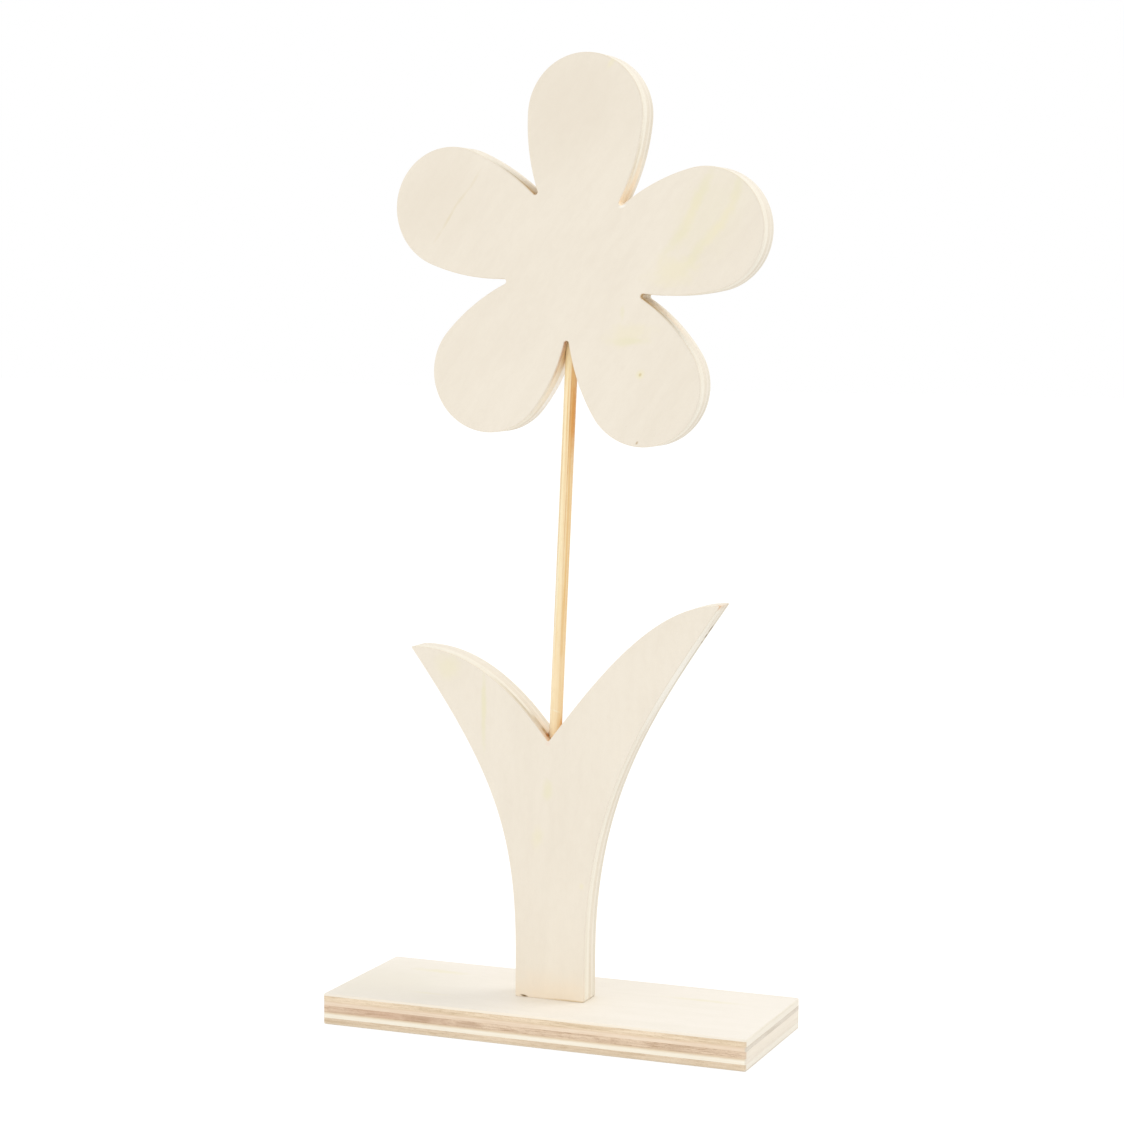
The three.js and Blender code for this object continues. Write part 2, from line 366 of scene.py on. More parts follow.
def make_mark_group():
    """A soft oval mark with a ragged outline. The vector is 1 long at the mark's edge."""
    takes = [("Vector", "Vector"), ("Place", "Vector"), ("Ragged", "Float"), ("Core", "Float")]
    tree, given, out = new_group("mark", takes, [("Mask", "Float")])
    ragged = grain_noise(tree, given["Place"], RAGGED_CELLS, 3.0, 0.6)
    pushed = calculate(tree, "MULTIPLY", calculate(tree, "SUBTRACT", ragged, 0.5), given["Ragged"])
    edge = calculate(tree, "ADD", length_of(tree, given["Vector"]), pushed)
    tree.links.new(between(tree, edge, given["Core"], 1.0, 1.0, 0.0), out["Mask"])
    return tree


veneer_group = make_veneer_group()
mark_group = make_mark_group()


def lay_veneer(tree, vector, end, colours):
    """Veneer in four colours, in the order in which wood() gives them."""
    long_light, long_dark, cut_light, cut_dark = colours
    return use_group(tree, veneer_group, {"Vector": vector, "End": end, "Long": long_light,
                                          "Long Dark": long_dark, "Cut": cut_light, "Cut Dark": cut_dark})


def new_material(name):
    material = bpy.data.materials.new(name)
    tree = empty_tree(material)
    shader = add_node(tree, "BsdfPrincipled")
    add_node(tree, "OutputMaterial", {"Surface": shader.outputs[0]}, is_active_output=True)
    return material, tree, shader


def cover(tree, shader, colour, height, bump, relief):
    """Gives a surface its colour and its fine relief."""
    raised = add_node(tree, "Bump", {"Height": height, "Strength": bump, "Distance": relief})
    tree.links.new(colour, shader.inputs["Base Color"])
    tree.links.new(raised.outputs[0], shader.inputs["Normal"])


# Wood colours, as read off a screen: along the grain, darker along the grain, cut across, darker cut across.
# The foot board's sawn edges are darker than those of the two standing boards, partly as painted light and
# shade:
# the standing boards' walls are painted paler, as lit from the right, and the foot's front edge darker.
def wood(long_light, long_dark, cut_light, cut_dark):
    return [paint(*colour) for colour in (long_light, long_dark, cut_light, cut_dark)]


FACE_WOOD = wood((243, 234, 218), (236, 226, 209), (243, 233, 215), (232, 220, 199))
FOOT_WOODS_PARTLY_SHADED = {
    "pink_face_veneer": wood((247, 240, 229), (241, 234, 221), (245, 238, 223), (236, 228, 211)),
    "pink_crossband": wood((246, 239, 225), (239, 231, 215), (247, 228, 201), (214, 190, 156)),
    "pink_inner_ply": wood((248, 231, 209), (229, 203, 175), (229, 220, 206), (212, 201, 184)),
    "core_ply": wood((245, 236, 221), (237, 227, 210), (239, 217, 191), (194, 164, 134)),
    "white_inner_ply": wood((255, 250, 236), (250, 240, 219), (242, 233, 219), (231, 221, 204)),
    "white_crossband": wood((245, 239, 226), (238, 231, 216), (239, 221, 196), (210, 187, 156)),
    # The lowest veneer is painted darker, partly as shade where the foot board stands on the floor
    "white_face_veneer": wood((235, 220, 195), (225, 206, 179), (236, 229, 215), (222, 213, 197)),
}
STANDING_WOODS_PARTLY_LIT = {
    "pink_face_veneer": FACE_WOOD,
    "pink_crossband": wood((244, 237, 222), (238, 230, 213), (235, 228, 212), (222, 212, 193)),
    "pink_inner_ply": wood((244, 236, 221), (238, 229, 213), (242, 233, 218), (231, 220, 203)),
    "core_ply": wood((243, 235, 220), (236, 227, 210), (238, 229, 212), (225, 213, 193)),
    "white_inner_ply": wood((248, 242, 227), (243, 235, 218), (247, 240, 225), (238, 229, 211)),
    "white_crossband": wood((244, 238, 223), (238, 231, 214), (247, 240, 224), (236, 228, 210)),
    "white_face_veneer": FACE_WOOD,
}
BOARD_WOODS = {"base": FOOT_WOODS_PARTLY_SHADED, "leaf": STANDING_WOODS_PARTLY_LIT, "flower": STANDING_WOODS_PARTLY_LIT}
PLY_SLOTS = {
    "pink_face_veneer": "face_veneer",
    "pink_crossband": "crossband_veneer",
    "pink_inner_ply": "pinkish_veneer",
    "core_ply": "brown_veneer",
    "white_inner_ply": "white_veneer",
    "white_crossband": "crossband_veneer",
    "white_face_veneer": "face_veneer",
}

# The direction of each board's face grain, and of the way across it, in the board's own plane
FLOWER_GRAIN = math.radians(55)
FACE_GRAIN = {
    "base": (Vector((1, 0, 0)), Vector((0, 1, 0))),
    "leaf": (Vector((0, 0, 1)), Vector((-1, 0, 0))),
    "flower": (Vector((math.cos(FLOWER_GRAIN), 0, math.sin(FLOWER_GRAIN))),
               Vector((-math.sin(FLOWER_GRAIN), 0, math.cos(FLOWER_GRAIN)))),
}


# Colours of the marks, and of the light and shade painted on the wood
YELLOW_STREAK = paint(241, 232, 201)
PALE_STREAK = paint(239, 231, 201)
BROWN_LINE = paint(228, 215, 184)
PIN_KNOT = paint(218, 202, 156)
DARK_FLECK = paint(190, 164, 122)
PEACH_STAIN = paint(249, 228, 199)
RED_STREAK = paint(204, 165, 137)
DARK_STREAK = paint(186, 156, 128)
OLIVE_STREAK = paint(224, 208, 170)
GREY_FLECK = paint(150, 134, 112)
# Painted shadow of a small gap under the left corner of the stalk's foot
GAP_SHADOW = paint(112, 80, 14)
AMBER = paint(226, 154, 60)
PALE_NICK = paint(255, 247, 226)
# Painted shade: the left end of the foot board's top greyer and darker
FOOT_LEFT_SHADE = paint(236, 229, 214)
GREEN_STREAK = paint(236, 229, 198)
GREEN_GREY = paint(206, 201, 182)
BROWN_RING = paint(208, 142, 66)
# Painted light that lifts shaded walls, and a painted highlight on a notch's rim
PALE_PAINTED_LIGHT = paint(255, 252, 243)
# Painted light that lifts shaded walls, and a painted highlight along the foot board's front arris
WARM_PAINTED_LIGHT = paint(252, 241, 221)
PINK_RIM = paint(240, 221, 204)
SHADED_FACE = paint(232, 221, 203)
# Painted shade in the narrow ends of the saw cuts and in the fork, in the warm tone of light bounced in the
# wood
NOTCH_SHADE = paint(206, 167, 98)
DARK_NOTCH_SHADE = paint(180, 112, 22)
OLIVE_NOTCH_SHADE = paint(186, 152, 82)
WARM_NOTCH_SHADE = paint(216, 160, 100)
# Painted light that lifts the shade on saw-cut walls, in a peach tone
PEACH_PAINTED_LIGHT = paint(255, 238, 214)
# Painted shade along the front plies near the notches
NOTCH_SHADE_LINE = paint(206, 190, 160)
# Warm orange round the ends of the stick's bores
BORE_ORANGE = paint(255, 212, 136)
GLUE_TONE = paint(222, 196, 160)
# Painted light on the lower left side of the stick
PALE_STICK_PAINTED_LIGHT = paint(253, 231, 192)
# Painted light where the flower board shades the top of the stick
STICK_PAINTED_LIGHT = paint(255, 241, 200)
# Painted light on the back plies beside the stick, which shades them
WHITE_PAINTED_LIGHT = paint(255, 252, 246)
# A line along the stalk's foot: glue, and partly painted shade where the stalk meets the foot board
GLUE_AND_CONTACT_SHADE = paint(224, 202, 164)

# Marks in the plies and on the stick: streaks, knots, flecks, a nick and glue, and also painted light,
# painted highlights and painted shade. Each has its place in millimetres, to the right and up in the room, or
# to the right and back on the foot board; its heading in degrees from level, or from the foot board's long
# side; half its length and half its width; its colour; its strength; and how ragged it is.
MARKS_AND_PAINTED_LIGHT = {
    "flower_white_face_veneer": (
        ((3.0, 293.0), 0, 34, 26, SHADED_FACE, 0.45, 0.4),
        ((-42.0, 262.0), 20, 28, 19, SHADED_FACE, 0.4, 0.4),
        ((50.0, 259.0), 56, 24, 15, GREEN_STREAK, 0.25, 0.6),
        ((46.4, 265.0), 62, 12.0, 2.6, GREEN_STREAK, 0.7, 0.9),
        ((43.0, 257.5), 66, 11.0, 2.4, YELLOW_STREAK, 0.6, 0.9),
        ((38.8, 251.5), 50, 9.0, 2.6, GREEN_STREAK, 0.6, 0.9),
        ((58.4, 266.5), 80, 10.0, 2.0, GREEN_STREAK, 0.5, 0.9),
        ((54.6, 258.5), 60, 11.0, 2.4, YELLOW_STREAK, 0.65, 0.9),
        ((50.3, 252.8), 50, 9.0, 2.4, YELLOW_STREAK, 0.6, 0.9),
        ((45.0, 247.0), 56, 9.5, 2.4, GREEN_STREAK, 0.65, 0.9),
        ((37.5, 241.5), 12, 11.0, 7.0, YELLOW_STREAK, 0.6, 1.0),
        ((23.6, 222.3), 12, 11, 5.0, YELLOW_STREAK, 0.5, 1.0),
        ((24.0, 220.2), 2, 8.5, 1.8, GREEN_STREAK, 0.7, 1.0),
        ((21.5, 229.0), 90, 3.0, 1.0, GREEN_STREAK, 0.5, 1.0),
        ((27.5, 209.9), 55, 2.2, 1.8, YELLOW_STREAK, 0.9, 0.8),
        ((27.5, 209.9), 55, 0.8, 0.6, PIN_KNOT, 1.0, 0.5),
        ((26.6, 188.8), 55, 0.9, 0.5, DARK_FLECK, 0.8, 0.6),
        ((17.4, 305.8), 55, 3.5, 1.2, YELLOW_STREAK, 0.7, 0.8),
        ((-28.4, 270.4), 58, 5.5, 0.7, BROWN_LINE, 0.3, 0.6),
        ((-33.0, 264.6), 49, 7.0, 0.7, BROWN_LINE, 0.4, 0.6),
        ((-37.2, 258.6), 58, 6.5, 0.7, BROWN_LINE, 0.55, 0.6),
        ((-41.0, 252.8), 55, 4.5, 0.7, BROWN_LINE, 0.25, 0.6),
        # A painted highlight on the rim below the top right notch
        ((21.2, 261.7), 15, 1.6, 0.7, PALE_PAINTED_LIGHT, 0.8, 0.4),
    ),
    "flower_pink_face_veneer": (
        ((-22.0, 262.0), 55, 15, 2.0, PALE_STREAK, 0.8, 0.9),
        ((36.0, 231.0), 55, 9, 3.0, PALE_STREAK, 0.7, 1.0),
        ((9.0, 285.0), 55, 1.0, 0.8, PIN_KNOT, 0.9, 0.6),
        ((-14.0, 214.0), 55, 11, 0.7, BROWN_LINE, 0.6, 1.0),
    ),
    "leaf_white_face_veneer": (
        ((-24.8, 103.0), 90, 18, 1.3, GREEN_STREAK, 0.9, 0.8),
        ((-37.5, 115.5), 90, 6, 6.5, PALE_STREAK, 0.6, 0.9),
        ((-2.7, 77.4), 90, 4.6, 2.6, GREEN_STREAK, 0.7, 1.0),
        ((-6.3, 62.4), 90, 5.0, 3.0, PALE_STREAK, 0.6, 0.9),
        ((9.2, 47.6), 90, 1.6, 1.2, YELLOW_STREAK, 0.7, 0.7),
        ((-1.6, 9.0), 0, 34, 13, PEACH_STAIN, 0.45, 0.5),
        # Painted shadow of a small gap under the stalk's left corner; then a line along the stalk's foot:
        # glue, and partly painted contact shade
        ((-10.4, 10.4), -8, 1.8, 0.45, GAP_SHADOW, 1.0, 0.4),
        ((5.5, 10.2), 0, 10.0, 0.5, GLUE_AND_CONTACT_SHADE, 0.9, 0.6),
        ((-2.6, 92.6), 0, 1.5, 1.1, PINK_RIM, 0.6, 0.4),
    ),
    "leaf_pink_face_veneer": (
        ((16.0, 92.0), 90, 15, 1.8, YELLOW_STREAK, 0.6, 0.9),
        ((-5.0, 44.0), 90, 9, 1.0, BROWN_LINE, 0.5, 0.9),
        ((1.0, 70.0), 90, 1.2, 0.8, PIN_KNOT, 0.9, 0.6),
    ),
    "flower_white_crossband": (
        # Painted shade near the notches, along the front ply
        ((1.0, 209.0), 72, 11.0, 4.0, WARM_NOTCH_SHADE, 0.6, 0.4),
        ((25.5, 272.0), 74, 18.0, 4.0, NOTCH_SHADE_LINE, 0.4, 0.4),
        ((-13.5, 270.2), -38, 13.0, 4.0, NOTCH_SHADE_LINE, 0.8, 0.4),
        ((33.5, 229.4), -41, 14.0, 4.0, NOTCH_SHADE_LINE, 0.7, 0.4),
    ),
    "flower_white_inner_ply": (
        # Painted light that lifts the shade beside the stick, and warm orange round its bore
        ((-1.0, 202.0), 68, 18.0, 8.0, PEACH_PAINTED_LIGHT, 1.0, 0.4),
        ((2.6, 215.0), 76, 8.0, 4.0, BORE_ORANGE, 0.8, 0.4),
    ),
    "flower_core_ply": (
        # Painted light that lifts the shade in two notches and beside the stick, and warm orange round the
        # bore
        ((23.5, 268.0), 75, 12.0, 4.0, PEACH_PAINTED_LIGHT, 0.9, 0.4),
        ((36.0, 227.5), -41, 12.0, 4.0, PEACH_PAINTED_LIGHT, 0.8, 0.4),
        ((-0.5, 203.0), 68, 24.0, 9.0, WARM_PAINTED_LIGHT, 1.0, 0.4),
        ((2.6, 215.0), 76, 8.0, 4.0, BORE_ORANGE, 0.9, 0.4),
    ),
    "flower_pink_inner_ply": (
        # Painted light that lifts the shade in two notches and beside the stick, and warm orange round the
        # bore
        ((23.5, 268.0), 75, 12.0, 4.0, PEACH_PAINTED_LIGHT, 0.9, 0.4),
        ((36.0, 227.5), -41, 12.0, 4.0, WARM_PAINTED_LIGHT, 0.9, 0.4),
        ((-0.5, 205.0), 68, 28.0, 12.0, WHITE_PAINTED_LIGHT, 1.0, 0.4),
        ((2.6, 215.0), 76, 8.0, 4.0, BORE_ORANGE, 0.9, 0.4),
    ),
    "flower_pink_crossband": (
        # Painted light that lifts the shade in the top right notch and beside the stick
        ((23.5, 268.0), 75, 12.0, 4.0, PALE_PAINTED_LIGHT, 0.4, 0.4),
        ((-0.5, 205.0), 68, 28.0, 12.0, WHITE_PAINTED_LIGHT, 1.0, 0.4),
    ),
    "leaf_white_crossband": (
        # Painted light on the right leaf's lower wall, which lies in shade, and painted shade near the fork
        ((38.0, 116.0), 54, 32.0, 7.0, PALE_PAINTED_LIGHT, 0.6, 0.6),
        ((-14.0, 104.5), -42, 15.0, 4.0, NOTCH_SHADE_LINE, 0.75, 0.4),
    ),
    "leaf_white_inner_ply": (
        # Painted light on the right leaf's lower wall, warm orange round the bore, and painted shade in the
        # fork
        ((38.0, 116.0), 54, 32.0, 7.0, PALE_PAINTED_LIGHT, 0.6, 0.6),
        ((-2.1, 92.5), 90, 5.0, 2.6, BORE_ORANGE, 0.8, 0.4),
        ((-7.4, 99.6), -50, 5.0, 2.0, OLIVE_NOTCH_SHADE, 0.4, 0.5),
        ((-5.4, 96.2), -50, 2.2, 1.6, OLIVE_NOTCH_SHADE, 0.8, 0.5),
        ((-4.1, 94.7), -50, 1.6, 1.4, DARK_NOTCH_SHADE, 1.0, 0.5),
    ),
    "leaf_core_ply": (
        # Painted light on the right leaf's lower wall and in the fork, warm orange round the bore, and
        # painted shade in the fork
        ((38.0, 116.0), 54, 32.0, 7.0, PALE_PAINTED_LIGHT, 0.7, 0.6),
        ((-4.0, 96.0), -50, 9.0, 4.0, WARM_PAINTED_LIGHT, 0.9, 0.4),
        ((-2.1, 92.5), 90, 5.0, 2.6, BORE_ORANGE, 0.9, 0.4),
        ((-4.1, 94.7), -50, 1.2, 1.2, DARK_NOTCH_SHADE, 0.6, 0.5),
    ),
    "leaf_pink_inner_ply": (
        # Painted light on the right leaf's lower wall, and warm orange round the bore
        ((38.0, 116.0), 54, 32.0, 7.0, PALE_PAINTED_LIGHT, 0.5, 0.6),
        ((-2.1, 92.5), 90, 5.0, 2.6, BORE_ORANGE, 0.9, 0.4),
    ),
    "leaf_pink_crossband": (
        ((42.0, 122.0), 54, 24.0, 4.0, GREEN_GREY, 0.5, 0.6),
        ((48.5, 131.0), 54, 2.0, 1.6, GREY_FLECK, 0.8, 0.8),
        ((47.1, 128.7), 54, 1.3, 1.6, GREY_FLECK, 0.9, 0.8),
        ((45.7, 126.8), 54, 0.9, 1.6, GREY_FLECK, 0.6, 0.8),
    ),
    "stem_stick": (
        ((4.6, 194.0), 87.7, 34, 1.2, AMBER, 0.55, 0.5),
        ((3.7, 196.0), 87.7, 20, 0.7, AMBER, 0.8, 0.5),
        ((3.3, 203.0), 87.7, 42, 0.3, BROWN_RING, 0.7, 0.4),
        ((1.4, 160.0), 87.7, 30, 0.25, BROWN_RING, 0.35, 0.4),
        # Painted light on the stick: its lower left side, and its top, which the flower board shades
        ((-1.4, 108.0), 88, 34, 5.0, PALE_STICK_PAINTED_LIGHT, 0.8, 0.4),
        ((2.4, 216.0), 87.7, 14.0, 2.4, STICK_PAINTED_LIGHT, 0.95, 0.4),
        ((-1.3, 102.8), -21, 1.8, 0.35, PALE_NICK, 0.6, 0.5),
        ((0.3, 98.8), 84, 3.6, 0.8, AMBER, 0.6, 0.4),
    ),
    "base_pink_face_veneer": (
        # Painted shade on the left end of the foot board's top, and a painted highlight along its front arris
        ((-60.0, -4.0), 0, 42, 32, FOOT_LEFT_SHADE, 0.9, 0.3),
        ((0.0, -27.8), 0, 120, 1.3, WARM_PAINTED_LIGHT, 0.8, 0.1),
        ((44.0, 12.0), 0, 16, 2.2, PALE_STREAK, 0.5, 1.0),
        ((-48.0, 14.0), 0, 14, 3.0, PALE_STREAK, 0.6, 1.0),
        ((-40.0, -14.0), 0, 10, 1.6, YELLOW_STREAK, 0.3, 0.9),
    ),
    "base_pink_crossband": (
        ((-56.0, 0.0), 0, 10, 30, OLIVE_STREAK, 0.5, 0.9),
        ((-27.0, 0.0), 0, 13, 30, RED_STREAK, 0.25, 0.9),
        ((6.0, 0.0), 0, 8, 30, OLIVE_STREAK, 0.2, 0.9),
        ((30.0, 0.0), 0, 11, 30, RED_STREAK, 0.3, 0.9),
    ),
    "base_white_crossband": (
        ((-48.0, 0.0), 0, 14, 30, RED_STREAK, 0.25, 0.9),
        ((-12.0, 0.0), 0, 16, 30, OLIVE_STREAK, 0.4, 0.9),
        ((40.0, 0.0), 0, 14, 30, RED_STREAK, 0.3, 0.9),
    ),
    "base_core_ply": (
        ((-46.0, 0.0), 0, 38, 60, RED_STREAK, 0.7, 0.6),
        ((-36.0, 0.0), 0, 12, 60, DARK_STREAK, 0.6, 0.8),
        ((-20.0, 0.0), 0, 8, 60, DARK_STREAK, 0.6, 0.8),
        ((50.0, 0.0), 0, 6, 60, DARK_STREAK, 0.4, 0.8),
    ),
    "base_white_face_veneer": (
        ((-42.0, -9.0), 0, 18, 2.0, YELLOW_STREAK, 0.7, 0.9),
        ((36.0, 11.0), 0, 22, 1.2, BROWN_LINE, 0.6, 1.0),
        ((18.0, -15.0), 0, 1.6, 1.1, PIN_KNOT, 0.9, 0.6),
        ((52.0, -6.0), 0, 12, 4.0, PALE_STREAK, 0.7, 1.0),
    ),
}

# Painted shade in the saw cuts of the flower, darkest in their narrow ends, in the warm tone of light bounced
# in the wood, and in the top right notch painted light that lifts its shade: the notch, how far the paint
# reaches, how strong it is and its colour
FLOWER_PAINTED_LIGHT_AND_SHADE = (
    (0, 14.0, 1.0, PEACH_PAINTED_LIGHT),
    (1, 13.0, 0.75, NOTCH_SHADE),
    (2, 12.0, 0.60, WARM_NOTCH_SHADE),
    (2, 1.3, 0.7, DARK_NOTCH_SHADE),
    (3, 3.0, 0.3, NOTCH_SHADE),
    (4, 10.0, 0.85, NOTCH_SHADE),
)
# The same for the leaf board, by place: painted shade in the fork, and a warm darkening at the tip of the
# right leaf
LEAF_PAINTED_SHADE = (
    ((-2.6, 93.1), 13.0, 0.5, WARM_NOTCH_SHADE),
    ((54.2, 139.0), 2.4, 0.7, WARM_NOTCH_SHADE),
)
# How much of the painted shade and light in the saw cuts each ply takes, which is most near the front of the
# standing boards
PLY_PAINTED_SHARE = {
    "pink_face_veneer": 0.1,
    "pink_crossband": 0.15,
    "pink_inner_ply": 0.2,
    "core_ply": 0.3,
    "white_inner_ply": 0.5,
    "white_crossband": 1.0,
    "white_face_veneer": 0.9,
}
# Glue that has soaked into a ply of the foot along its long edges: how high it lies, how far it reaches and
# how strong it is
GLUE_STAINS = {
    "base_white_inner_ply": (4.0, 1.0, 0.8),
    "base_pink_inner_ply": (7.6, 0.6, 0.45),
}
# Half the depth of a mark that goes right through a board, in millimetres
THROUGH = 1000
# How far the middle of a mark has its full strength, as a share of its size
MARK_CORE = 0.1
PAINTED_LIGHT_AND_SHADE_RAGGED = 0.5
GLUE_RAGGED = 0.3
# How squarely a surface faces along the grain where end grain starts, and where it is all end grain
END_GRAIN = (0.15, 0.85)
# How squarely a surface faces the front where a sawn wall starts, and where it is all wall
SAWN_WALL = (0.6, 0.25)


def lay_soft_mark(tree, colour, place, middle, half_sizes, tint, strength, ragged, turn=(0, 0, 0), core=0.0,
          where=None):
    """Lays one soft mark over a colour, a stain of the wood or painted light or shade. Its middle and half
    sizes are in millimetres.
    """
    oval = add_node(tree, "Mapping", {
        "Vector": place, "Location": Vector(middle) * MM, "Rotation": turn, "Scale": Vector(half_sizes) * MM,
    }, vector_type="TEXTURE")
    mask = use_group(tree, mark_group, {
        "Vector": oval.outputs[0], "Place": place, "Ragged": ragged, "Core": core})
    share = calculate(tree, "MULTIPLY", mask["Mask"], strength)
    if where is not None:
        share = calculate(tree, "MULTIPLY", share, where)
    return mix_colours(tree, share, colour, tint)


def add_marks_and_painted_light(tree, colour, place, board, node):
    """Lays a piece's own marks, and the light and shade painted on it, over its colour."""
    for (across, up), heading, length, width, tint, strength, ragged in MARKS_AND_PAINTED_LIGHT.get(node, ()):
        angle = math.radians(heading)
        if board == "base":
            turn, middle, half_sizes = (0, 0, angle), (across, up, 0), (length, width, THROUGH)
        else:
            turn, middle, half_sizes = (0, -angle, 0), (across, 0, up), (length, THROUGH, width)
        colour = lay_soft_mark(tree, colour, place, middle, half_sizes, tint, strength, ragged, turn, MARK_CORE)
    return colour


def painted_light_and_shade(board):
    """The places of a standing board's painted shade and light: how far right and up they are in the room, in
    millimetres, and their reach, strength and colour."""
    if board == "leaf":
        return LEAF_PAINTED_SHADE
    cuts = flower_plan()[1]
    lift = Vector((0, NOTCH_REACHES[STICK_NOTCH]))
    places = [(flower_place() @ (cut + lift).to_3d() / MM).xz for cut in cuts]
    return [(places[i], *shading) for i, *shading in FLOWER_PAINTED_LIGHT_AND_SHADE]


def add_painted_light_and_shade(tree, colour, place, normal, board, share):
    """Paints shade, and in one notch light, only on the walls of the saw cuts, not on the faces of the board.
    """
    wall = between(tree, facing(tree, normal, (0, 1, 0)), *SAWN_WALL)
    for (across, up), reach, strength, tint in painted_light_and_shade(board):
        colour = lay_soft_mark(tree, colour, place, (across, 0, up), (reach, THROUGH, reach), tint, strength * share,
                       PAINTED_LIGHT_AND_SHADE_RAGGED, where=wall)
    return colour


def veneer_material(board, ply):
    """The material of one ply of one board. Every second ply of the sheet has its grain crosswise."""
    along, across = FACE_GRAIN[board]
    if ply in CROSSWISE_PLIES:
        along, across = across, -along
    node = f"{board}_{ply}"
    material, tree, shader = new_material(node.replace("_", " "))
    surface = add_node(tree, "TexCoord").outputs
    place = surface["Object"]
    turn = Matrix((along, across, along.cross(across))).to_euler()
    sheet = add_node(tree, "Mapping", {"Vector": place, "Rotation": turn})
    end = between(tree, facing(tree, surface["Normal"], along), *END_GRAIN)
    veneer = lay_veneer(tree, sheet.outputs[0], end, BOARD_WOODS[board][ply])
    colour = add_marks_and_painted_light(tree, veneer["Color"], place, board, node)
    # Painted shade in the saw cuts and the fork, and painted light in one notch
    if board != "base":
        colour = add_painted_light_and_shade(tree, colour, place, surface["Normal"], board, PLY_PAINTED_SHARE[ply])
    if node in GLUE_STAINS:
        height, reach, strength = GLUE_STAINS[node]
        long_edge = calculate(tree, "SUBTRACT", 1.0, end)
        colour = lay_soft_mark(tree, colour, place, (0, 0, height), (THROUGH, THROUGH, reach), GLUE_TONE, strength,
                       GLUE_RAGGED, where=long_edge)
    cover(tree, shader, colour, veneer["Height"], VENEER_BUMP, VENEER_RELIEF)
    tree.links.new(veneer["Roughness"], shader.inputs["Roughness"])
    return material


# Year rings of the stick: where across it a layer lies, 0 on its left and 1 on its right, and the wood there.
# The palest stops at the left edge and the lighter last stop at the right edge are partly painted light on
# its sides.
STICK_RINGS_AND_EDGE_LIGHT = (
    (0.00, (252, 246, 224)), (0.12, (249, 239, 210)), (0.26, (252, 235, 196)), (0.42, (254, 234, 194)),
    (0.58, (253, 229, 184)), (0.66, (250, 219, 166)), (0.76, (244, 206, 144)), (0.84, (241, 204, 146)),
    (1.00, (243, 214, 168)),
)
# How far the rings are turned about the stick, how far from its middle the pith lay, in millimetres, how fast
# the rings run out of the stick, and how far they sway, in metres
STICK_RING_TURN = math.radians(-21)
STICK_PITH = 9.0
STICK_RUN_OUT = 0.0045
STICK_SWAY = 0.0012
# Fine lines along the stick: the cells per metre, the detail and the roughness of their noise, the levels
# between which they show, their strength and their colour
STICK_LINES = (
    ((1250, 9, 1250), 3.0, 0.6, (0.49, 0.58), 0.6, paint(229, 182, 106)),
    ((1700, 12, 1700), 2.0, 0.5, (0.52, 0.60), 0.6, paint(255, 239, 203)),
)
STICK_STREAKS = wood((255, 255, 255), (246, 238, 220), (240, 214, 170), (206, 160, 104))
STICK_ROUGHNESS = 0.5
STICK_BUMP = 0.4
STICK_RELIEF = 0.00008


def stick_material():
    """Straight-grained wood: the year rings show as stripes along the stick. They curve about a pith that lay
    well to the left of it, and run out of it slowly."""
    material, tree, shader = new_material("birch stick")
    place = add_node(tree, "TexCoord").outputs["Object"]
    stem = stem_place()
    turn = (Matrix.Rotation(STICK_RING_TURN, 3, "Y") @ stem.to_3x3().normalized().inverted()).to_euler()
    moved = -(turn.to_matrix() @ stem.translation)
    along = add_node(tree, "Mapping", {"Vector": place, "Rotation": turn, "Location": moved}).outputs[0]
    right, up, front = add_node(tree, "SeparateXYZ", {0: along}).outputs
    level = add_node(tree, "CombineXYZ", {0: right, 1: front}).outputs[0]
    pith_vector = add_node(tree, "VectorMath", {0: level, 1: (STICK_PITH * MM, 0, 0)}).outputs[0]
    drift = grain_noise(tree, along, (400, 16, 400), 2.0)
    sway = calculate(tree, "MULTIPLY", calculate(tree, "SUBTRACT", drift, 0.5), STICK_SWAY)
    from_middle = calculate(tree, "SUBTRACT", up, STICK_SHOWN / 2 * MM)
    run_out = calculate(tree, "MULTIPLY", from_middle, STICK_RUN_OUT)
    layer = calculate(tree, "ADD", calculate(tree, "ADD", length_of(tree, pith_vector), run_out), sway)
    share = add_node(tree, "MapRange", {"Value": layer, "From Min": (STICK_PITH - STICK_RADIUS) * MM,
                                        "From Max": (STICK_PITH + STICK_RADIUS) * MM})
    # Its palest stops at the left edge and its last stop at the right edge are partly painted light on the
    # stick's sides
    rings = add_node(tree, "ValToRGB", {0: share.outputs["Result"]})
    # A new ramp comes with two stops
    stops = rings.color_ramp.elements
    for i, (position, tint) in enumerate(STICK_RINGS_AND_EDGE_LIGHT):
        stop = stops[i] if i < 2 else stops.new(position)
        stop.position = position
        stop.color = paint(*tint)

    colour = rings.outputs[0]
    for cells, detail, roughness, levels, strength, tint in STICK_LINES:
        lines = between(tree, grain_noise(tree, along, cells, detail, roughness), *levels)
        colour = mix_colours(tree, calculate(tree, "MULTIPLY", lines, strength), colour, tint)
    colour = add_marks_and_painted_light(tree, colour, place, "stem", "stem_stick")
    lengthwise = Matrix(((0, 1, 0), (1, 0, 0), (0, 0, -1))).to_euler()
    grain = add_node(tree, "Mapping", {"Vector": along, "Rotation": lengthwise})
    streaks = lay_veneer(tree, grain.outputs[0], 0.0, STICK_STREAKS)
    tinted = add_node(tree, "Mix", {0: 1.0, 6: colour, 7: streaks["Color"]},
                      data_type="RGBA", blend_type="MULTIPLY")
    cover(tree, shader, tinted.outputs[2], streaks["Height"], STICK_BUMP, STICK_RELIEF)
    shader.inputs["Roughness"].default_value = STICK_ROUGHNESS
    return material


# Screw: its yellow passivation and the tone of the blotches in it
SCREW_YELLOW = paint(226, 212, 156)
SCREW_BLOTCH = paint(206, 188, 150)


